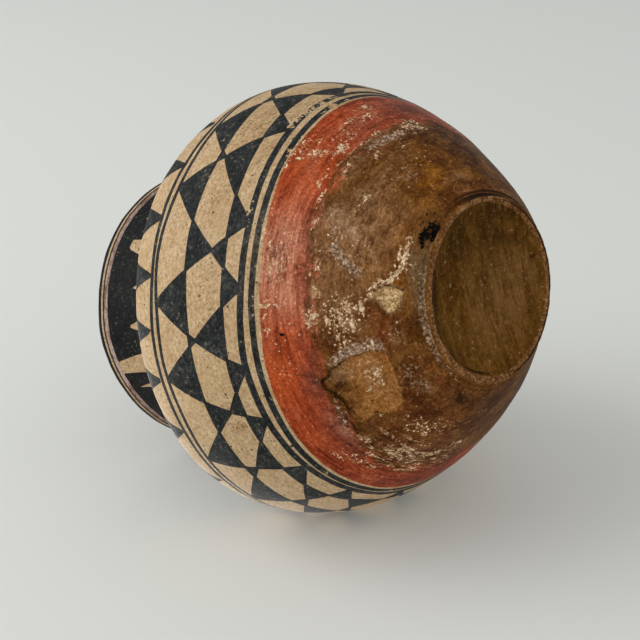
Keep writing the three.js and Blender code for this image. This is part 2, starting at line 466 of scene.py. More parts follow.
def slopingLines(feet, middles, tops):
    # signed distance to a family of lines that climb from the low line, past a crossing, to the high line
    footHeights = np.interp(feet, columns % 360, lineHeights["lowLine"], period=360)
    topHeights = np.interp(tops, columns % 360, lineHeights["highLine2"], period=360)
    field = np.zeros_like(turns)
    for i, height in enumerate(outline[:, 1]):
        if stretch[i] not in ("painted", "shoulder"):
            continue
        places, leans = [], []
        for k, (turn, level) in enumerate(middles):
            below = height < level
            otherTurn = feet[k] if below else tops[k]
            otherHeight = footHeights[k] if below else topHeights[k]
            share = (height - level) / (otherHeight - level)
            places.append(turn + share * (otherTurn - turn))
            sideways = math.radians(otherTurn - turn) * outline[i, 0]
            leans.append(1 / math.hypot(1, sideways / (otherHeight - level)))
        count = len(places)
        at = np.array([p + 360 * lap for lap in (-1, 0, 1, 2) for p in places])
        index = np.arange(len(at)) - count
        position = np.interp(columns, at, index)
        step = np.interp(columns, (at[1:] + at[:-1]) / 2, np.diff(at)) * math.pi / 180 * outline[i, 0]
        lean = np.interp(columns, at, leans * 4)
        field[i] = np.sin(math.pi * position) * step / math.pi * lean
    return field


def insideShape(corners):
    # distance in from the sides of a shape with straight sides, corners given counter-clockwise
    field = np.full_like(turns, 1e3)
    middleTurn = sum(c[0] for c in corners) / len(corners)
    x = np.radians(turnFrom(middleTurn)) * radii
    for (turnA, heightA), (turnB, heightB) in zip(corners, corners[1:] + corners[:1]):
        ax = math.radians(turnA - middleTurn) * radiusAt(heightA)
        bx = math.radians(turnB - middleTurn) * radiusAt(heightB)
        ay, by = wayAt(heightA), wayAt(heightB)
        length = math.hypot(bx - ax, by - ay)
        field = np.minimum(field, ((ways - ay) * (bx - ax) - (x - ax) * (by - ay)) / length)
    return np.where(np.abs(turnFrom(middleTurn)) < 40, field, -1e3)


def paintedBlack():
    # millimetres inside the black paint of the shoulder, neck, lip and inside, minus outside it
    field = np.full_like(turns, -50.0)
    tips = teeth["tips"]
    for k, (turn, height) in enumerate(tips):
        before = tips[k - 1][0] - (360 if k == 0 else 0)
        after = tips[(k + 1) % len(tips)][0] + (360 if k == len(tips) - 1 else 0)
        left, right = (before + turn) / 2, (after + turn) / 2
        corners = [(turn, height - 1), (right, teeth["joinHeight"]), (left, teeth["joinHeight"])]
        field = np.maximum(field, insideShape(corners))
    bandHeight = heights - (teeth["bandFoot"] + 1.2 * np.sin(3 * np.radians(turns)))
    band = np.minimum(bandHeight, neckBand["blackTop"] - heights)
    pale = np.maximum(0.9 - np.abs(heights - teeth["lightLine"] - np.sin(2 * np.radians(turns))), -50)
    for turn, height, blunt, left, right in neckShapes:
        corners = [(left, neckBand["foot"]), (right, neckBand["foot"]), (turn + blunt / 2, height)]
        if blunt:
            corners.append((turn - blunt / 2, height + 0.8))
        pale = np.maximum(pale, insideShape(corners))
    field = np.maximum(field, np.minimum(band, -pale))
    field = np.where(onOutside, field, -50)

    # over the lip and a little way down the inside
    field = np.where(within("lip"), 3.0, field)
    lipEnd = wayAlong[stretch == "lip"][-1]
    down = neckBand["insideBlack"] - (ways - lipEnd) + 1.2 * np.sin(4 * np.radians(turns))
    return np.clip(np.where(within("inside", "innerFloor"), down, field), -6, 6)


lineHeights = {name: roundJar(places) for name, places in bands.items()}
feetBefore = [lattice["feet"][-1] - 360] + lattice["feet"][:-1]
topsBefore = [lattice["tops"][-1] - 360] + lattice["tops"][:-1]
level = {name: np.where(within("inside", "innerFloor"), 50, heights - lineHeights[name]) for name in bands}
fields = {"black": paintedBlack()}
fields["rise"] = slopingLines(feetBefore, lattice["crossings"], lattice["tops"])
fields["fall"] = slopingLines(lattice["feet"], lattice["crossings"], topsBefore)
for name in ("hexTop", "hexFoot", "lowLine", "lowLine2", "highLine", "highLine2"):
    fields[name] = np.clip(level[name], -60, 60)
print("Paint laid out")


# Wear. Each mark is turn, height, across, up and strength, and last its lean if it has one.
wear = {
    "scuffs": [
        # flakes on the lost patch's far side and up towards the red
        (28.5, 48.5, 9, 6.5, 0.95), (27.5, 41.5, 6, 4, 1.1), (27.5, 36, 11, 5, 1.1), (31, 32.5, 9, 5, 1),
        (30.5, 26.5, 10, 4, 1), (23.5, 31, 7, 4, 1), (28, 36, 22, 28, 0.62), (20, 37.5, 12, 12, 0.66),
        (37.5, 46, 7, 5, 0.6), (36, 23, 9, 7, 0.7, -40), (41, 19, 8, 3, 0.9), (41.5, 15.5, 8, 3, 0.85),
        (34, 17, 10, 7, 0.62, 8), (16, 14.5, 7, 7, 0.5), (-14.5, 14, 7, 6, 0.5), (53, 11, 13, 5, 0.6),
        # trail across the red on the upper side
        (80.5, 72, 5, 4, 0.9), (84.5, 68, 8, 5, 0.95, -50), (86.5, 63.5, 9, 4, 0.9, -50),
        (90.5, 58, 8, 7, 0.95, -40), (85, 66, 26, 12, 0.55, -50), (112.5, 74, 12, 7, 0.72),
        (109.5, 67, 16, 8, 0.6), (102.5, 68.5, 10, 3, 0.8), (90, 70.5, 10, 4, 0.75), (97, 62, 20, 12, 0.5),
        (119.5, 51, 12, 8, 0.95), (123, 49, 10, 5, 0.95), (113, 47.5, 10, 5, 0.8), (122, 55, 12, 8, 0.65),
        (106, 39, 8, 2, 0.95), (111, 39.5, 5, 2, 0.7), (95, 42.5, 9, 3, 0.9, 30), (82, 48, 4, 5, 0.95),
        (86, 49.5, 5, 5, 0.8), (74, 55.5, 10, 3, 0.8, 25), (78.5, 56, 9, 3, 0.75, 15),
        (83.5, 53, 10, 3, 0.7), (99, 52.5, 12, 3, 0.7), (105, 53, 9, 4, 0.85), (70, 52.5, 9, 3, 0.8),
        (67, 52, 6, 3, 0.7), (76, 33, 7, 6, 0.8), (72, 33, 7, 5, 0.7), (50, 46, 7, 4, 0.6),
        (45.5, 45, 7, 4, 0.8), (43.5, 48, 5, 4, 0.7), (38.5, 45, 8, 4, 0.62),
        # specks over the red, the pale edge of the cream and the brown
        (46, 64, 46, 28, 0.26), (30, 64, 26, 20, 0.3), (16, 66, 20, 20, 0.34), (33, 70, 12, 6, 0.56),
        (24, 66, 8, 12, 0.45), (84, 76, 26, 8, 0.6), (60, 74, 40, 3, 0.55), (30, 75, 40, 2.4, 0.5),
        (-30, 79, 60, 2.4, 0.5), (55, 34, 60, 26, 0.24), (104, 28, 50, 20, 0.26), (-34, 28, 40, 16, 0.5),
        (-22, 28.5, 3, 2, 1), (-14.5, 36.5, 3, 3, 0.8), (-20, 69, 16, 3, 0.7, 5), (-26, 63, 30, 5, 0.6, 5),
        (-35.5, 33, 5, 5, 1), (200, 55, 14, 6, 0.9), (165, 50, 16, 6, 0.8), (250, 47, 18, 6, 0.9),
        (280, 57, 16, 5, 0.8), (215, 38, 14, 9, 0.7), (300, 40, 14, 6, 0.7), (205, 62, 70, 26, 0.5),
        (265, 56, 70, 30, 0.5), (150, 60, 50, 26, 0.52), (13, 126, 6, 6, 0.4), (-62, 118, 30, 22, 0.45),
        (-47, 93, 18, 8, 0.5), (81, 78.5, 8, 4, 0.9), (78, 76.5, 7, 3, 0.8), (71, 90, 3, 6, 0.5),
        (105.5, 85, 6, 7, 0.8),
    ],
    # broken strokes that run round the jar
    "drawn": [
        (-38, 51, 62, 22, 0.95), (-47, 47, 26, 8, 1.15), (-35, 45, 26, 8, 1), (-29.5, 57, 28, 8, 1, 5),
        (-52, 43, 20, 6, 1), (-18.5, 52, 7, 5, 1.2), (-22, 42, 24, 6, 0.85), (-34, 39, 44, 8, 0.8),
        (-44, 60, 50, 10, 0.95), (-28, 65, 40, 8, 0.85, 6), (-38, 30, 40, 12, 0.55), (-58, 52, 30, 26, 0.8),
        (104, 66, 36, 16, 0.7), (92, 52, 40, 6, 0.8), (48, 64, 40, 24, 0.8), (60, 50, 50, 8, 0.7),
        (96, 30, 50, 16, 0.5), (60, 30, 50, 16, 0.45), (24, 52, 20, 20, 0.5), (108, 43, 40, 10, 0.6),
        (225, 50, 60, 16, 0.8), (165, 56, 40, 14, 0.7), (270, 44, 40, 10, 0.7),
    ],
    # soft whitish bloom
    "haze": [
        (64.5, 44, 12, 8, 0.7), (63, 37, 14, 10, 0.6), (61, 32.5, 14, 10, 0.6), (74, 33, 14, 10, 0.5),
        (28.5, 48.5, 13, 8, 0.6), (28, 34, 22, 20, 0.4), (86, 49, 20, 7, 0.5), (100, 51, 30, 6, 0.5),
        (119, 50, 20, 9, 0.5), (45, 46, 20, 6, 0.5), (-40, 48, 50, 16, 0.12), (-29, 32, 16, 10, 0.1),
        (46, 66, 44, 24, 0.5), (100, 62, 40, 14, 0.3), (30, 70, 30, 10, 0.3), (85, 66, 26, 10, 0.4, -50),
        (57, 48.5, 34, 5, 0.4), (-14, 56, 20, 5, 0.4), (78, 64, 20, 10, 0.2), (112, 72, 20, 8, 0.3),
        (37.5, 46.5, 10, 5, 0.5), (-14.5, 14, 8, 7, 0.35), (16, 14.5, 10, 8, 0.3), (230, 46, 50, 14, 0.4),
        (160, 45, 40, 12, 0.4),
    ],
    "grey": [
        (102, 47, 18, 5, 0.8), (107, 47, 18, 5.5, 0.9), (112, 47.5, 14, 5, 0.8), (104, 69.5, 8, 3, 0.5),
        (-9, 52, 14, 5, 0.5, -20), (-4, 51, 16, 3, 0.45, -20), (15.5, 69.5, 5, 3, 0.4),
        (48.5, 34, 8, 5, 0.8, 20), (58, 40, 12, 6, 0.4, 20), (97, 24, 12, 8, 0.3), (-6, 15, 16, 10, 0.3),
    ],
    "fringe": [
        (53, 8, 13, 6, 0.62), (46, 6.6, 16, 5, 0.75), (36, 5.6, 20, 3.6, 0.5), (58, 6, 8, 4, 0.5),
    ],
    "sand": [
        (35.2, 15.6, 8, 14, 1.1), (32, 15.2, 9, 10, 1.05), (28.8, 15, 6, 6, 0.9), (105.5, 85, 5, 7, 0.9),
        (-28, 52, 6, 4, 0.4), (37.5, 46.5, 9, 4, 0.6), (35, 22.5, 8, 4, 0.5, -30),
    ],
    "loss": [
        (91, 90.5, 6, 4, 1), (94, 90.5, 5, 4, 0.9), (97.6, 91.5, 4, 4, 1), (100.8, 91.6, 4, 4, 1),
        (105, 91, 5, 5, 1.1), (98, 91, 26, 8, 0.72), (105.5, 84.6, 6, 5, 1.1), (110, 92, 12, 8, 0.7),
        (82.5, 79.5, 5, 3, 0.9), (78.5, 77, 4, 3, 0.8), (101.5, 84, 8, 3, 0.65), (88, 80, 10, 4, 0.6),
        (120, 97, 16, 10, 0.62), (72, 94, 12, 10, 0.55), (64, 88, 8, 8, 0.5), (-45, 92, 16, 8, 0.85),
        (112, 86, 6, 3, 0.8), (-50, 84, 10, 4, 0.8), (-18, 85, 3, 2, 0.9), (-24, 82, 6, 3, 0.7),
        (46, 142.6, 6, 1.4, 0.7), (57, 146, 3, 1.4, 0.7), (118, 120, 16, 10, 0.5), (60, 84, 26, 5, 0.5),
        (-60, 130, 20, 14, 0.5), (170, 88, 12, 4, 0.8), (232, 86, 9, 4, 0.8), (200, 118, 8, 6, 0.5),
    ],
    "soot": [
        (67, 6.8, 12, 6, 0.92), (71.5, 6.2, 10, 5, 0.9), (76, 5.6, 9, 4, 0.88), (80, 5.6, 7, 3, 0.7),
        (63, 5.8, 8, 3.4, 0.72), (74, 8.6, 8, 3, 0.62, 30), (82, 9.4, 6, 3, 0.62), (85, 7.2, 4, 2, 0.65),
        (73, 7, 34, 11, 0.5, 10), (1, 17, 4, 1.6, 0.9, 20), (-8, 9, 30, 4, 0.3), (25, 63, 1.6, 3.4, 1, 10),
        (27, 64.5, 2, 1.6, 0.9), (20, 71.5, 3, 1.6, 0.7), (-9, 83.4, 2.4, 2, 1), (24, 88.2, 3, 1.6, 0.5),
        (-8, 36, 2, 2, 0.8), (-12.5, 37, 2, 2, 0.8),
    ],
    # deeper, browner places
    # browner places, partly painted shade: the lost patch's deep side, round the dent, and the sides of the
    # body
    "darkAndShade": [
        (2.5, 44, 17, 15, 1.1, 20), (5.5, 47.5, 9, 9, 0.9), (-6, 44, 10, 8, 0.8), (-16, 44, 12, 8, 0.7),
        (-14, 40, 10, 6, 0.5), (21, 43, 9, 12, 0.6), (34, 49, 12, 5, 0.8), (33.5, 47, 7, 6, 0.6),
        (20, 36, 14, 14, 0.4), (-30, 43.4, 34, 2, 0.8), (-44, 43.6, 26, 1.6, 0.9), (-27, 47.5, 24, 2, 0.7),
        (-40, 51, 34, 2, 0.6), (-38, 37, 40, 3, 0.6), (-38, 52, 56, 24, 0.35), (-66, 20, 44, 50, 0.95),
        (-90, 30, 60, 60, 0.8), (-37, 10.5, 30, 12, 1), (-37, 10.5, 20, 10, 1.2), (-30, 20, 60, 14, 0.7),
        (-20, 14, 50, 10, 0.5), (160, 40, 60, 70, 0.8), (32.5, 12, 12, 4, 0.5, 20), (25, 15, 8, 8, 0.5),
        (136, 34, 44, 60, 0.95), (128, 60, 24, 30, 0.5), (118, 34, 40, 6, 0.5), (75, 40, 26, 8, 0.4),
        (85, 28, 10, 8, 0.35), (-62, 60, 30, 46, 0.7), (-52, 74, 36, 8, 0.5), (104, 10, 30, 5, 0.5),
        (88, 12, 12, 8, 0.4), (120, 82, 40, 5, 0.5), (190, 30, 80, 12, 0.5), (270, 22, 80, 12, 0.5),
        (-12, 44, 12, 10, 0.5),
    ],
    "purple": [
        (-9, 55, 34, 15, 1, -12), (-20, 59, 30, 10, 0.75), (8, 54, 22, 14, 1), (16, 50, 14, 10, 0.8),
        (22, 54, 12, 8, 0.5), (56, 50, 28, 7, 0.95), (66, 49, 18, 6, 0.8), (44, 50, 20, 7, 0.6),
        (130, 70, 36, 18, 0.7), (118, 66, 26, 8, 0.4), (-44, 72, 40, 10, 0.4), (200, 60, 60, 14, 0.5),
    ],
    "pink": [
        (36, 58, 26, 18, 0.95), (46, 67, 36, 17, 1.1), (54, 60, 32, 18, 1), (38, 70, 20, 8, 0.7),
        (64, 60, 24, 12, 0.5), (210, 66, 60, 16, 0.6),
    ],
    "orange": [
        (14, 67, 36, 20, 1), (26, 60, 22, 20, 0.8), (80, 66, 40, 18, 0.9), (70, 60, 30, 14, 0.8),
        (104, 74, 30, 10, 0.8), (-8, 70, 20, 10, 0.5), (170, 66, 60, 16, 0.6), (255, 66, 60, 16, 0.6),
    ],
    "light": [
        (115.5, 7.6, 6, 3.4, 1.3), (118.5, 14, 12, 6, 0.8), (71, 24.5, 34, 20, 0.9), (58, 30, 40, 34, 1),
        (66, 20, 36, 20, 0.7), (50, 38, 34, 18, 0.9), (38, 44, 20, 14, 0.8), (86, 30, 26, 16, 0.6),
        (88, 46, 30, 8, 0.5), (40, 26, 16, 14, 0.5), (100, 36, 20, 8, 0.4), (150, 36, 50, 20, 0.5),
        (230, 34, 60, 24, 0.5), (66, 40, 20, 10, 0.4),
    ],
    "gold": [
        (101, 18, 28, 16, 1), (112, 24, 40, 16, 0.9), (92, 14, 24, 12, 0.7), (122, 14, 30, 10, 0.8),
        (66, 14, 30, 8, 0.8), (90, 22, 30, 12, 0.7), (116, 34, 30, 20, 0.6), (44, 12, 20, 10, 0.5),
        (30, 46, 12, 8, 0.3), (38, 46, 10, 6, 0.5), (140, 30, 40, 30, 0.5),
    ],
    "ruddy": [
        (-18.5, 9, 22, 12, 1), (-8, 12, 24, 14, 0.7), (20, 20, 26, 20, 0.9), (28, 24, 16, 12, 0.7),
        (18, 40, 16, 16, 0.8), (30, 46, 14, 6, 0.6), (-25, 38, 20, 8, 0.9), (-20, 42, 16, 6, 0.9),
        (-40, 57, 50, 18, 0.9), (112, 7, 26, 8, 0.8), (132, 6, 26, 8, 0.6), (96, 46, 24, 10, 0.5),
        (-42, 46, 46, 16, 0.95), (-26, 22, 44, 24, 0.95), (-30, 42, 30, 8, 1), (-40, 30, 40, 20, 0.6),
        (50, 12, 14, 6, 0.3), (-30, 26, 20, 10, 0.3), (180, 44, 60, 14, 0.5),
    ],
    "stain": [
        (1.5, 103, 5, 10, 0.9, 15), (88, 107.5, 9, 5, 0.8, 10), (90, 108, 60, 28, 0.5),
        (30, 100, 60, 20, 0.3), (62, 105, 20, 14, 0.5), (28, 106, 8, 12, 0.35), (76, 92.5, 8, 3, 0.6),
        (103, 96, 12, 6, 0.5), (74, 104, 6, 4, 0.6), (0, 78, 6, 1.6, 0.5), (105.5, 86, 5, 6, 0.6),
        (115, 92, 20, 8, 0.5), (81, 92, 12, 12, 0.6),
    ],
}

# Strokes: the places that each runs through, its width and its strength
scratches = {
    "scuffs": [
        ([(64.5, 11), (58.5, 11), (52, 10.5)], 3.2, 0.95), ([(52, 10.5), (46, 12.5), (41.5, 15)], 3.6, 1.0),
        ([(41.5, 15), (41, 19), (38, 22)], 3.2, 0.9), ([(59, 13), (54, 13.5), (49, 14.5)], 2, 0.8),
        ([(50, 8.5), (45, 9.5)], 2.4, 0.7), ([(36, 22), (33, 26), (30, 30)], 2.4, 0.7),
        ([(125, 52.5), (122, 55.5), (117, 54)], 1.6, 0.9),
        ([(90.4, 61), (93, 57), (88.4, 56), (86.6, 59)], 1.6, 0.9),
        ([(96.5, 44.5), (94, 41.5)], 2, 0.9), ([(21, 38), (18, 35), (19.5, 32)], 1.2, 0.85),
        ([(33.6, 74), (33.9, 66), (33.2, 60)], 1.2, 0.8), ([(23.2, 73), (23.6, 66)], 1.2, 0.7),
        ([(27, 72), (27.6, 64)], 1.2, 0.7), ([(-22, 28.5), (-22, 30.5)], 1.6, 0.8),
        ([(-27, 34.5), (-31.5, 33.4), (-33, 30.4), (-29.5, 29), (-26.4, 31)], 1.1, 0.8),
    ],
    "grey": [([(44, 28.5), (48.5, 34), (53, 39.5)], 5, 0.85), ([(41, 30), (45, 32.5)], 2.4, 0.45)],
    "drawn": [([(-17, 52), (-21, 51), (-25, 53)], 4, 1.1), ([(-34, 47), (-46, 47), (-52, 45)], 5, 1.1)],
    "soot": [([(24, 61), (24.6, 63)], 1.4, 0.8), ([(24.4, 62), (26.4, 66)], 1.4, 0.9)],
    "crackAndShade": [
        # painted shadow under the lost patch's edge towards the belly
        ([(-16, 51.6), (-11.5, 50), (-7, 50.4)], 2.4, 0.8), ([(-17, 45), (-13.5, 43.6)], 1.4, 0.7),
        # painted shade round the rubbed dent
        ([(36.4, 22), (38.6, 18.5), (39.2, 15.5), (38.4, 12), (36.2, 9.6)], 1.5, 0.85),
        ([(34.5, 9.6), (30.5, 10.8), (27.4, 13.2), (26.2, 15.2)], 2.2, 0.62),
        ([(34, 21.5), (30, 19.6), (27, 17)], 1.8, 0.55),
    ],
}
floorStrokes = [([(4, 26), (1.5, 28)], 5, 0.8), ([(1.5, 27), (-1.5, 31), (-3.5, 35)], 4, 0.72),
                ([(6, 31), (-2, 27)], 9, 0.5)]
basePit = (-44.5, -8.4)  # x and y of a small pit in the hollowed base


def lay(name, field):
    # adds to a field, and the stronger of the two shows
    fields[name] = np.maximum(fields[name], field)


fields["crackAndShade"] = np.zeros_like(turns)
fields.update({name: marks(places) for name, places in wear.items()})
for name, strokes in scratches.items():
    for places, width, strength in strokes:
        lay(name, stroke(places, width, strength))
for name in ("grey", "scuffs", "drawn", "haze"):
    fields[name] *= smoothStep(-patchIn, -0.3, 0.2)

# what carries on over the outer wall of the foot ring
ringSide = (within("foot") & (ways > bodyWay - 5.6)).astype(float)
lay("fringe", 0.75 * ringSide * bell(turnFrom(42), 24))
lay("grey", 0.5 * ringSide * bell(turnFrom(12), 30))
lay("soot", 0.86 * ringSide * bell(turnFrom(74), 8, 4))

# pale rubbed strip beside the lost patch, and what shows on its floor
besidePatch = smoothStep(patchX, 5, 13) * smoothStep(patchY, -22, -14) * smoothStep(-patchY, -16, -7)
strip = bell(patchIn + 3.2, 3.0) * besidePatch * (patchIn < 0.1)
lay("grey", strip)
lay("haze", 0.85 * strip)
lay("scuffs", 0.62 * strip * smoothStep(-patchY, -4, 10))
onFloor = smoothStep(patchIn, 0, 1)
for places, width, strength in floorStrokes:
    lay("scuffs", stroke(places, width, strength) * onFloor)
lay("haze", 0.6 * spot(8, 42, 10, 12) * onFloor)
lay("haze", 0.45 * spot(1, 29, 22, 10) * onFloor)

# dark line along the lost patch's far side, partly crack and partly painted shadow of its edge, and painted
# shade under its edge towards the belly
lay("crackAndShade", bell(patchIn - 0.2, 0.5) * smoothStep(patchX, 5, 12) * smoothStep(patchY, -17, -9))
shade = bell(patchIn - 0.5, np.where(patchIn > 0.5, 1.9, 0.5)) * smoothStep(patchY + 0.25 * patchX, 4, 13)
lay("crackAndShade", 0.85 * shade)

# painted shade in the crease outside the foot ring, darkest at the far side
creaseLine = bell(ways - bodyWay - 0.3 * smoothStep(facing(125), -0.2, 0.6), 1.1) * within("foot", "low")
lay("crackAndShade", creaseLine * (0.25 + 0.75 * bell(turnFrom(135), 50) + 0.35 * bell(turnFrom(-50), 40)))

# painted shade: the ring's inner edge is dark on the camera's side, its outer edge and outer wall on the
# other
footStart, footEnd = wayAlong[stretch == "foot"][[1, -1]]
nearSide = facing(shot["turn"])
innerLine = bell(radii - 49.5 + 2.9 * np.maximum(nearSide, 0), 1.1) * within("recess")
lay("crackAndShade", 0.95 * innerLine * smoothStep(facing(12), -0.2, 0.4))
pastEnd = ways - footEnd
lay("crackAndShade", 0.9 * bell(pastEnd + 7.1, 1.1) * smoothStep(-nearSide, -0.1, 0.5))
outerWall = smoothStep(pastEnd, -6.0, -5.4) * smoothStep(-pastEnd, -0.5, 0.5)
lay("crackAndShade", 0.85 * outerWall * smoothStep(facing(150), 0.5, 0.85))
lay("crackAndShade", 0.64 * spot(-37, 10.5, 18, 9))

# hollowed base: painted shade at one side and under its near edge, a painted pool of light in the middle,
# and a small pit painted dark
upward = (points @ np.array(shot["tableUp"])) / 50
sideways = (points @ np.array(cameraRight)) / 50
inBase = within("recess", "foot") & (heights < 9) & (radii < 53)
upperShade = smoothStep(upward, -0.3, 0.8) * (1 - 0.5 * smoothStep(sideways, 0.2, 0.7))
edgeShade = smoothStep(-sideways, 0.25, 0.85) * smoothStep(radii, 34, 50)
fields["hollowPaintedShade"] = np.where(inBase, np.maximum(0.75 * upperShade, edgeShade), 0)
fields["hollowPaintedLight"] = np.where(inBase, bell(sideways - 0.2, 0.4) * bell(upward + 0.15, 0.5), 0)
fromPit = np.hypot(points[..., 0] - basePit[0], points[..., 1] - basePit[1])
lay("crackAndShade", np.where(inBase, bell(fromPit, math.sqrt(6)), 0))

# where the finishes begin and end
fields["redTop"] = np.where(onOutside, np.clip(-level["redTop"], -12, 12), -12)
fields["redFoot"] = np.where(onOutside, np.clip(level["redFoot"], -30, 30), -30)
fields["patchIn"] = patchIn
fields["along"] = ways
fields["tall"] = np.where(onOutside | within("lip"), heights, -20)
lipWays = wayAlong[stretch == "lip"]
lipTop = lipWays[len(lipWays) // 2]
print("Wear laid out")


# Flat map of the surface: left and lower edge, width and height of each strip, and the middle and radius of
# the hollowed base
layout = {
    "outside": (0.003, 0.003, 0.994, 0.79),
    "inside": (0.215, 0.805, 0.78, 0.19),
    "insideTip": 0.999,
    "base": (0.1, 0.9, 0.094),
}


def onStrip(name, share, part):
    left, low, width, height = layout[name]
    return left + width * share, low + height * part


def onBase(share, way):
    x, y, radius = layout["base"]
    reach = radius * way / footStart
    return x + reach * np.cos(2 * math.pi * share), y + reach * np.sin(2 * math.pi * share)


def fanCorners(*corners):
    return np.stack([np.column_stack(np.broadcast_arrays(*c)) for c in corners], axis=1).reshape(-1, 2)


def buildJar():
    ringCount, columnCount = turns.shape
    grid = np.arange(ringCount * columnCount).reshape(ringCount, columnCount)
    nextColumn = np.roll(grid, -1, axis=1)
    faces = np.stack([grid[:-1], nextColumn[:-1], nextColumn[1:], grid[1:]], axis=-1).reshape(-1, 4)
    first, last = grid.size, grid.size + 1
    firstFan = np.column_stack([nextColumn[0], grid[0], np.full(columnCount, first)])
    lastFan = np.column_stack([grid[-1], nextColumn[-1], np.full(columnCount, last)])
    middles = [[0, 0, points[0, :, 2].mean()], [0, 0, points[-1, :, 2].mean()]]
    places = np.vstack([points.reshape(-1, 3), middles]) * mm

    mesh = bpy.data.meshes.new("jar_fired_clay")
    mesh.from_pydata(places.tolist(), [], faces.tolist() + firstFan.tolist() + lastFan.tolist())
    mesh.polygons.foreach_set("use_smooth", np.ones(len(mesh.polygons), bool))
    for name, field in fields.items():
        ends = [field[0].mean(), field[-1].mean()]
        made = mesh.attributes.new(name, "FLOAT", "POINT")
        made.data.foreach_set("value", np.concatenate([field.ravel(), ends]).astype(np.float32))

    # one map: the outside as a wide strip, the inside as a low one beside the hollowed base
    share = np.arange(columnCount + 1) / columnCount
    quadColumn = np.tile(np.arange(columnCount), ringCount - 1)[:, None]
    quadRing = np.repeat(np.arange(ringCount - 1), columnCount)[:, None]
    u = share[quadColumn + np.array([0, 1, 1, 0])]
    way = wayAlong[quadRing + np.array([0, 0, 1, 1])]
    outer = onStrip("outside", u, (way - footStart) / (lipTop - footStart))
    inner = onStrip("inside", u, (way - lipTop) / (wayAlong[-1] - lipTop))
    flat = np.where(wayAlong[quadRing] >= lipTop, inner, outer)
    flat = np.where(quadRing < np.argmax(stretch == "foot"), onBase(u, way), flat).reshape(2, -1).T
    before, after = share[:-1], share[1:]
    tip = (onStrip("inside", (before + after) / 2, 1)[0], layout["insideTip"])
    near = fanCorners(onBase(after, wayAlong[0]), onBase(before, wayAlong[0]), onBase(after, 0))
    far = fanCorners(onStrip("inside", before, 1), onStrip("inside", after, 1), tip)
    sheet = mesh.uv_layers.new(name="OFBake")
    sheet.data.foreach_set("uv", np.vstack([flat, near, far]).ravel().astype(np.float32))
    mesh.validate()

    jar = bpy.data.objects.new("jar_fired_clay", mesh)
    bpy.context.scene.collection.objects.link(jar)
    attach(jar, "root")
    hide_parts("jar")
    return jar


jar = buildJar()
print("Jar built:", len(jar.data.polygons), "faces")


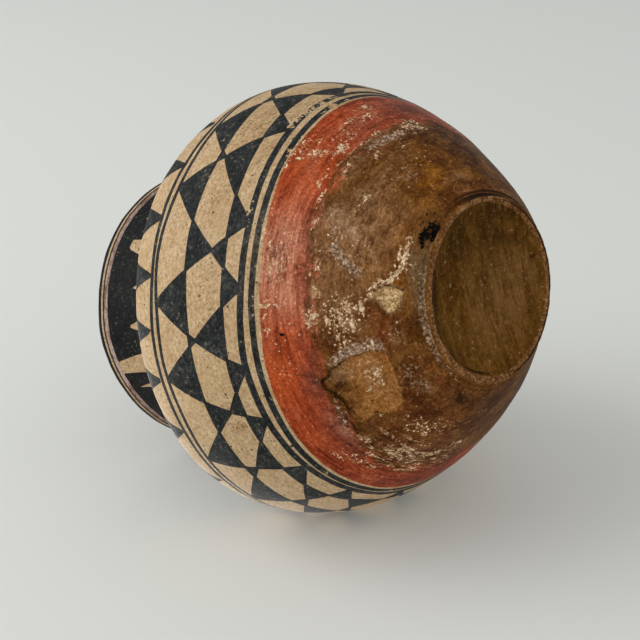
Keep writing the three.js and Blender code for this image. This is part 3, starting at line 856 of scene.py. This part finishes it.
class Finish:
    # short hands for wiring one material
    def __init__(self, name):
        self.material = bpy.data.materials.new(name)
        self.material.use_nodes = True
        self.nodes = self.material.node_tree.nodes
        self.links = self.material.node_tree.links
        self.nodes.clear()
        self.count = 0

    def add(self, kind, sockets={}, **settings):
        node = self.nodes.new(kind)
        node.location = (-1800 + 190 * (self.count // 8), 700 - 200 * (self.count % 8))
        self.count += 1
        for key, value in settings.items():
            setattr(node, key, value)
        for key, value in sockets.items():
            self.feed(node.inputs[key], value)
        return node

    def done(self, surface):
        self.links.new(surface.outputs[0], self.add("ShaderNodeOutputMaterial").inputs["Surface"])
        return self.material

    def feed(self, socket, value):
        if isinstance(value, bpy.types.NodeSocket):
            self.links.new(value, socket)
        else:
            socket.default_value = value

    def field(self, name):
        return self.add("ShaderNodeAttribute", attribute_name=name).outputs["Fac"]

    def math(self, how, a, b=0.0, c=0.0):
        return self.add("ShaderNodeMath", {0: a, 1: b, 2: c}, operation=how).outputs[0]

    def times(self, a, b):
        return self.math("MULTIPLY", a, b)

    def plus(self, a, share, more):
        # so much of one value, and another
        return self.math("MULTIPLY_ADD", a, share, more)

    def most(self, a, b):
        return self.math("MAXIMUM", a, b)

    def rest(self, a):
        return self.math("SUBTRACT", 1.0, a)

    def sumOf(self, *parts):
        # sum of a few patterns, each with its share
        total = 0.0
        for value, share in parts:
            total = self.plus(value, share, total)
        return total

    def span(self, value, low, high, toLow=0.0, toHigh=1.0):
        # one range carried softly onto another
        ends = {0: value, 1: low, 2: high, 3: toLow, 4: toHigh}
        return self.add("ShaderNodeMapRange", ends, interpolation_type="SMOOTHSTEP").outputs[0]

    def blend(self, share, a, b, how="MIX"):
        return self.add("ShaderNodeMix", {0: share, 6: a, 7: b}, data_type="RGBA", blend_type=how).outputs[2]

    def between(self, share, a, b):
        return self.add("ShaderNodeMix", {0: share, 2: a, 3: b}, data_type="FLOAT").outputs[0]

    def noise(self, where, size, detail, rough, twist=0.0, squeeze=(1, 1, 1)):
        # size is in millimetres from one blob to the next; squeeze presses the pattern along x, y, z
        sizes = tuple(1000 * s / size for s in squeeze)
        place = self.add("ShaderNodeVectorMath", {0: where, 1: sizes}, operation="MULTIPLY").outputs[0]
        sockets = {"Vector": place, "Scale": 1.0, "Detail": detail, "Roughness": rough, "Distortion": twist}
        return self.add("ShaderNodeTexNoise", sockets).outputs["Fac"]

    def paintIn(self):
        # distance into the black: the lattice's cells fill by turns, then its strokes and the four lines
        sides = [self.field(name) for name in ("rise", "fall", "hexTop", "hexFoot")]
        near, turnBy = 50.0, 1.0
        for side in sides:
            near = self.math("MINIMUM", near, self.math("ABSOLUTE", side))
            turnBy = self.times(turnBy, self.math("SIGN", side))
        cells = self.most(self.times(near, turnBy), self.math("SUBTRACT", lattice["lineHalf"], near))
        low, high = self.field("lowLine"), self.field("highLine2")
        ends = self.math("MINIMUM", low, self.times(high, -1.0))
        total = self.most(self.field("black"), self.math("MINIMUM", cells, ends))
        for name, half in lineHalf.items():
            far = self.math("ABSOLUTE", self.field(name))
            total = self.most(total, self.math("SUBTRACT", half, far))
        return total

    def specks(self, where, size, share):
        # small round dots with soft edges; share is how far each reaches, 0 to 1
        sockets = {0: where, "Scale": 1000 / size}
        place = self.add("ShaderNodeVectorMath", sockets, operation="SCALE").outputs[0]
        node = self.add("ShaderNodeTexVoronoi", {"Vector": place, "Scale": 1.0}, feature="F1")
        return self.span(node.outputs["Distance"], 1.25 * share, 0.75 * share)

    def ramp(self, share, shades, low=0.4, high=0.6):
        # three shades in turn, from dark to light
        node = self.add("ShaderNodeValToRGB", {0: share})
        stops = node.color_ramp.elements
        stops.new(0.5)
        for stop, at, colour in zip(stops, (low, (low + high) / 2, high), shades):
            stop.position = at
            stop.color = colour
        return node.outputs[0]

    def wash(self, under, name, by, low, high, weak, strong, shadedBy=None):
        # the finish of this name over another, as strong as its field and a pattern say
        share = self.times(self.field(name), self.span(by, low, high, weak, strong))
        shade = glaze[name] if shadedBy is None else self.ramp(shadedBy, glaze[name])
        return self.blend(share, under, shade)


# Colours of the finishes, as the screen shows them in soft daylight
glaze = {
    "cream": (tone(172, 140, 98), tone(196, 165, 125), tone(212, 184, 148)),
    "stain": (tone(104, 74, 40), tone(150, 112, 66), tone(182, 146, 96)),
    # black paint: its lighter shades carry a painted sheen
    "black": (tone(28, 30, 31), tone(50, 52, 51), tone(84, 84, 79)),
    "blackAndNeckShade": tone(24, 25, 25),
    "red": (tone(96, 32, 12), tone(156, 62, 30), tone(196, 100, 62)),
    "orange": tone(202, 88, 38),
    "pink": tone(216, 142, 112),
    "purple": (tone(82, 42, 34), tone(112, 62, 50), tone(140, 88, 72)),
    "clay": (tone(76, 41, 8), tone(106, 64, 22), tone(138, 92, 44)),
    "gold": (tone(92, 48, 2), tone(132, 74, 8), tone(164, 106, 34)),
    "light": (tone(128, 86, 52), tone(152, 106, 68), tone(174, 130, 90)),
    "ruddy": (tone(86, 34, 8), tone(116, 54, 20), tone(146, 80, 42)),
    "darkAndShade": tone(54, 24, 4),
    "broken": (tone(138, 86, 38), tone(160, 104, 50), tone(184, 128, 72)),
    "footRing": (tone(90, 56, 26), tone(130, 88, 50), tone(158, 114, 70)),
    "recess": (tone(78, 46, 6), tone(104, 66, 14), tone(124, 84, 34)),
    "hollowPaintedShade": tone(50, 30, 3),
    "hollowPaintedLight": tone(138, 98, 54),
    "fringe": tone(120, 106, 80),
    "sand": (tone(176, 132, 78), tone(208, 172, 118), tone(232, 208, 162)),
    "inside": (tone(84, 58, 34), tone(98, 70, 42), tone(112, 80, 50)),
    "haze": tone(186, 156, 126),
    "scuff": (tone(156, 110, 72), tone(198, 160, 122), tone(230, 208, 176)),
    "grey": (tone(114, 86, 66), tone(150, 120, 98), tone(192, 166, 142)),
    "soot": tone(9, 8, 7),
    "shade": tone(34, 17, 5),
    "lipBrownHighlight": (tone(122, 96, 84), tone(166, 138, 126), tone(200, 176, 166)),
    "dot": tone(104, 70, 42),
    "darkDot": tone(46, 30, 20),
}

# Patterns of the finish: size in millimetres, detail, roughness, twist, and how much each is squeezed
patterns = {
    "wander": (9, 1, 0.5),
    "fray": (2.6, 3, 0.75, 0.0, (1, 1, 1.4)),
    "cloud": (46, 2, 0.6),
    "mottle": (13, 4, 0.75, 0.4),
    "grain": (1.5, 1, 0.7),
    "streaks": (30, 4, 0.68, 0.2, (1, 1, 12)),  # left by the polishing stone, round the jar
    "strands": (8, 3, 0.7, 0.9, (1, 1, 4.5)),
}
toolMarks = (14, 3, 0.7, 0.3, (3.2, 0.6, 1))  # strokes in the hollowed base
toolTurn = -0.37  # radians


def paintedClay():
    f = Finish("painted_clay")
    coords = f.add("ShaderNodeTexCoord").outputs["Object"]
    along = f.field("along")
    tall = f.field("tall")
    wander, fray, cloud, mottle, grain, streaks, strands = (f.noise(coords, *p) for p in patterns.values())
    dots = f.specks(coords, 2.7, 0.2)
    darkDots = f.specks(coords, 8.5, 0.085)
    speckle = f.sumOf((grain, 0.5), (fray, 0.5))
    edgeBy = f.plus(wander, 1.1, f.plus(fray, 1.1, -1.1))  # moves every painted edge, as the hand did

    # bare clay, polished by handling
    clay = f.ramp(f.sumOf((mottle, 0.45), (cloud, 0.2), (strands, 0.35)), glaze["clay"], 0.38, 0.6)
    clay = f.wash(clay, "gold", mottle, 0.3, 0.62, 0.45, 1.0, mottle)
    clay = f.wash(clay, "light", mottle, 0.34, 0.56, 0.4, 0.95, strands)
    clay = f.wash(clay, "ruddy", strands, 0.36, 0.62, 0.95, 0.3, mottle)

    # red slip: top edge follows its line, lower edge is rubbed away unevenly
    red = f.ramp(f.sumOf((streaks, 0.45), (mottle, 0.25), (strands, 0.3)), glaze["red"], 0.37, 0.62)
    red = f.wash(red, "orange", streaks, 0.35, 0.62, 0.25, 0.85)
    red = f.wash(red, "pink", streaks, 0.38, 0.6, 0.3, 0.95)
    red = f.wash(red, "purple", mottle, 0.38, 0.6, 1.0, 0.55, mottle)
    redIn = f.span(f.plus(edgeBy, 0.8, f.field("redTop")), -0.25, 0.25)
    ragged = f.plus(streaks, 18.0, f.plus(mottle, 26.0, -22.0))
    redLow = f.span(f.math("ADD", f.field("redFoot"), ragged), -4.0, 4.0)
    redMask = f.times(redIn, redLow)

    # cream slip above the red, over the shoulder and neck to the lip
    cream = f.ramp(f.sumOf((mottle, 0.35), (strands, 0.3), (fray, 0.35)), glaze["cream"], 0.38, 0.6)
    cream = f.wash(cream, "stain", mottle, 0.38, 0.56, 0.0, 1.0, speckle)
    cream = f.blend(f.times(dots, f.span(mottle, 0.4, 0.56, 0.0, 0.75)), cream, glaze["dot"])
    cream = f.blend(f.times(darkDots, 0.9), cream, glaze["darkDot"])
    colour = f.blend(redMask, clay, red)
    onCream = f.times(f.rest(redIn), f.span(tall, 60, 66))
    colour = f.blend(onCream, colour, cream)

    # brown band under the lip, lightened as a painted highlight, and the dark line above it
    bandLow, bandHigh, soft = neckBand["blackTop"], neckBand["brownTop"], 0.15
    overLow = f.span(tall, bandLow - soft, bandLow + soft)
    band = f.times(overLow, f.span(tall, bandHigh + soft, bandHigh - soft))
    brown = f.ramp(f.sumOf((strands, 0.5), (mottle, 0.5)), glaze["lipBrownHighlight"], 0.42, 0.58)
    colour = f.blend(band, colour, brown)
    lipTall = f.plus(edgeBy, 0.3, tall)
    lipLine = f.math("ABSOLUTE", f.math("SUBTRACT", lipTall, neckBand["darkLine"]))
    colour = f.blend(f.span(lipLine, 0.65, 0.4, 0.0, 0.95), colour, glaze["blackAndNeckShade"])

    # black paint, thinner in places, lighter on the body as a painted sheen and darker up the neck as
    # painted shade
    black = f.ramp(f.sumOf((mottle, 0.5), (fray, 0.5)), glaze["black"], 0.42, 0.66)
    black = f.blend(f.span(tall, 180, 190, 0.0, 0.75), black, glaze["blackAndNeckShade"])
    blackMask = f.span(f.plus(edgeBy, 0.4, f.paintIn()), -0.16, 0.16)
    lostPaint = f.span(f.plus(f.field("loss"), 0.42, speckle), 0.74, 0.8)
    tinyLoss = f.times(dots, f.span(mottle, 0.52, 0.66, 0.0, 0.3))
    blackMask = f.times(blackMask, f.rest(f.most(lostPaint, tinyLoss)))
    blackMask = f.most(blackMask, f.span(lipTall, neckBand["lineTop"] - 0.12, neckBand["lineTop"] + 0.12))
    colour = f.blend(blackMask, colour, black)

    # foot ring, hollowed base and inside
    sockets = {"Vector": coords, "Angle": toolTurn}
    toolAlong = f.add("ShaderNodeVectorRotate", sockets, rotation_type="Z_AXIS")
    strokes = f.noise(toolAlong.outputs[0], *toolMarks)
    hollow = f.ramp(f.sumOf((strokes, 0.45), (mottle, 0.35), (fray, 0.2)), glaze["recess"])
    # painted pool of light in the middle of the hollowed base, and painted shade at its side and near edge
    hollow = f.wash(hollow, "hollowPaintedLight", strokes, 0.36, 0.62, 0.2, 0.9)
    hollow = f.wash(hollow, "hollowPaintedShade", mottle, 0.36, 0.62, 1.0, 0.5)
    inHollow = f.span(f.plus(edgeBy, 0.6, along), footStart + 0.1, footStart - 0.5)
    inRing = f.span(f.plus(edgeBy, 0.9, along), footEnd - 5.4, footEnd - 5.9)
    colour = f.blend(inRing, colour, f.ramp(f.sumOf((mottle, 0.4), (speckle, 0.6)), glaze["footRing"]))
    colour = f.blend(inHollow, colour, hollow)
    bareInside = f.times(f.span(along, lipTop + 2, lipTop + 2.5), f.rest(blackMask))
    colour = f.blend(bareInside, colour, f.ramp(f.sumOf((streaks, 0.5), (mottle, 0.5)), glaze["inside"]))

    # lost patch: rough, unpolished clay
    broken = f.ramp(f.sumOf((mottle, 0.45), (speckle, 0.55)), glaze["broken"], 0.38, 0.62)
    inPatch = f.span(f.field("patchIn"), -0.05, 0.3)
    colour = f.blend(inPatch, colour, broken)
    # browner places and painted shade, over everything below
    colour = f.wash(colour, "darkAndShade", mottle, 0.36, 0.62, 0.95, 0.4)
    sandy = f.times(f.span(f.field("sand"), 0.15, 0.8), f.span(speckle, 0.36, 0.6, 0.7, 1.0))
    colour = f.blend(sandy, colour, f.ramp(speckle, glaze["sand"], 0.32, 0.68))

    # bloom, scuffs, salts and soot lie over everything, and last the painted shade of cracks, creases,
    # hollows and edges
    colour = f.wash(colour, "haze", f.sumOf((mottle, 0.5), (fray, 0.5)), 0.4, 0.62, 0.1, 0.75)
    colour = f.wash(colour, "fringe", speckle, 0.34, 0.6, 0.3, 0.95)
    flakes = f.sumOf((fray, 0.7), (grain, 0.3))
    greyed = f.span(f.plus(f.field("grey"), 0.45, flakes), 0.56, 0.86, 0.0, 0.9)
    colour = f.blend(greyed, colour, f.ramp(speckle, glaze["grey"]))
    scuffed = f.span(f.plus(f.field("scuffs"), 0.32, flakes), 0.63, 0.78)
    drawn = f.span(f.plus(f.field("drawn"), 0.24, f.sumOf((strands, 0.7), (fray, 0.3))), 0.67, 0.78)
    fissure = f.times(f.field("drawn"), f.span(strands, 0.45, 0.36, 0.0, 0.8))
    colour = f.blend(fissure, colour, glaze["darkAndShade"])
    marked = f.most(scuffed, drawn)
    pale = f.ramp(f.sumOf((marked, 0.16), (mottle, 0.4), (grain, 0.6)), glaze["scuff"], 0.5, 0.78)
    colour = f.blend(f.span(marked, 0.05, 0.95, 0.0, 0.92), colour, pale)
    sooty = f.plus(f.field("soot"), 0.42, f.sumOf((fray, 0.5), (mottle, 0.1), (grain, 0.4)))
    colour = f.blend(f.span(sooty, 0.7, 0.8), colour, glaze["soot"])
    colour = f.blend(f.span(f.field("crackAndShade"), 0.25, 0.9, 0.0, 0.95), colour, glaze["shade"])

    # fine grain over it all, calmer on the smooth places
    grainBy = f.plus(grain, 1.3, f.plus(fray, 1.1, -0.2))
    shadeBy = f.add("ShaderNodeCombineColor", {0: grainBy, 1: grainBy, 2: grainBy})
    calm = f.most(f.times(onCream, 0.5), f.times(f.most(inHollow, inPatch), 0.35))
    colour = f.blend(f.rest(calm), colour, shadeBy.outputs[0], "MULTIPLY")

    rough = f.between(redMask, 0.5, 0.42)
    rough = f.between(onCream, rough, f.span(strands, 0.3, 0.7, 0.42, 0.56))
    rough = f.between(blackMask, rough, f.span(grain, 0.3, 0.7, 0.46, 0.62))
    rough = f.between(f.most(inHollow, inRing), rough, 0.62)
    rough = f.between(f.most(inPatch, f.most(marked, bareInside)), rough, 0.85)

    height = f.times(grain, f.span(f.field("patchIn"), -0.3, 0.5, 0.16, 0.5))
    height = f.plus(darkDots, -0.15, f.plus(strands, 0.22, height))
    bump = f.add("ShaderNodeBump", {"Strength": 1.0, "Distance": mm, "Height": height})
    return f.done(f.add("ShaderNodeBsdfPrincipled", {
        "Base Color": colour,
        "Roughness": rough,
        "Normal": bump.outputs[0],
        "Specular IOR Level": f.between(f.most(onCream, blackMask), 0.04, 0.07),
    }))


jar.data.materials.append(paintedClay())
print("Jar painted")


# Stage: the leaning table, a level floor for the other sides, soft daylight from the left
stageSet = {
    "table": tone(228, 229, 225),
    "floor": tone(227, 228, 225),
    "glow": 0.1,
    "tableHalf": 5200,
    "floorHalf": 9000,
    "floorHeight": -1.5,  # keeps it clear of the foot ring
    "sky": tone(227, 229, 228),
    "skyStrength": 0.62,
    # way to the light as shares of left, up and towards the camera; distance, size and power
    "key": ((1, 0.6, 0.1), 3.0, 3.0, 58),
    "fill": ((-0.3, 0.7, 0.8), 2.2, 1.8, 3),
    # this one's way is along the jar's own axes
    "side": ((0.15, -0.45, 0.88), 2.0, 1.8, 22),
}


def stageFinish(name, colour):
    # seen and lit from its front only, so it never hides the jar from behind
    f = Finish(name)
    surface = f.add("ShaderNodeBsdfPrincipled", {
        "Base Color": colour,
        "Roughness": 0.75,
        "Specular IOR Level": 0.2,
        "Emission Color": colour,
        "Emission Strength": stageSet["glow"],
    })
    clear = f.add("ShaderNodeBsdfTransparent")
    side = f.add("ShaderNodeNewGeometry").outputs["Backfacing"]
    ray = f.add("ShaderNodeLightPath").outputs["Is Camera Ray"]
    mix = f.add("ShaderNodeMixShader", {0: f.times(side, ray), 1: surface.outputs[0], 2: clear.outputs[0]})
    return f.done(mix)


def facingUp(middle, up):
    return Matrix.Translation(middle) @ Vector(up).to_track_quat("Z", "Y").to_matrix().to_4x4()


def makeSheet(name, middle, up, half, finish):
    mesh = bpy.data.meshes.new(name)
    h = half * mm
    mesh.from_pydata([(-h, -h, 0), (h, -h, 0), (h, h, 0), (-h, h, 0)], [], [(0, 1, 2, 3)])
    mesh.materials.append(finish)
    sheet = bpy.data.objects.new(name, mesh)
    sheet.matrix_world = facingUp(Vector(middle) * mm, up)
    bpy.context.scene.collection.objects.link(sheet)
    return sheet


def makeLight(name, direction, away, size, power):
    # soft square light that faces the jar's middle
    middle = Vector((0, 0, form["height"] / 2 * mm))
    way = Vector(direction).normalized()
    lamp = bpy.data.lights.new(name, "AREA")
    lamp.shape = "SQUARE"
    lamp.size = size
    lamp.energy = power
    holder = bpy.data.objects.new(name, lamp)
    holder.matrix_world = facingUp(middle + way * away, way)
    holder.visible_camera = False
    bpy.context.scene.collection.objects.link(holder)
    return holder


def makeStage():
    up = Vector(shot["tableUp"]).normalized()
    table = stageFinish("table", stageSet["table"])
    makeSheet("table_top", -up * shot["tableDrop"], up, stageSet["tableHalf"], table)
    ground = stageFinish("floor", stageSet["floor"])
    floor = makeSheet("floor", (0, 0, stageSet["floorHeight"]), (0, 0, 1), stageSet["floorHalf"], ground)
    for ray in ("shadow", "diffuse", "glossy", "transmission"):
        setattr(floor, "visible_" + ray, False)

    world = bpy.data.worlds.new("daylight")
    world.use_nodes = True
    sky = world.node_tree.nodes["Background"]
    sky.inputs["Color"].default_value = stageSet["sky"]
    sky.inputs["Strength"].default_value = stageSet["skyStrength"]
    bpy.context.scene.world = world

    toCamera = -cameraAhead - up * (-cameraAhead).dot(up)
    toCamera.normalize()
    for name in ("key", "fill"):
        (left, high, near), *settings = stageSet[name]
        makeLight(name + "_light", -cameraRight * left + up * high + toCamera * near, *settings)
    side = makeLight("side_light", *stageSet["side"])
    passed = bpy.data.collections.new("lit_through")  # the side light passes the table, for the other sides
    passed.objects.link(jar)
    side.light_linking.blocker_collection = passed
    bpy.context.scene.view_settings.view_transform = "Standard"


makeStage()
print("Stage lit")
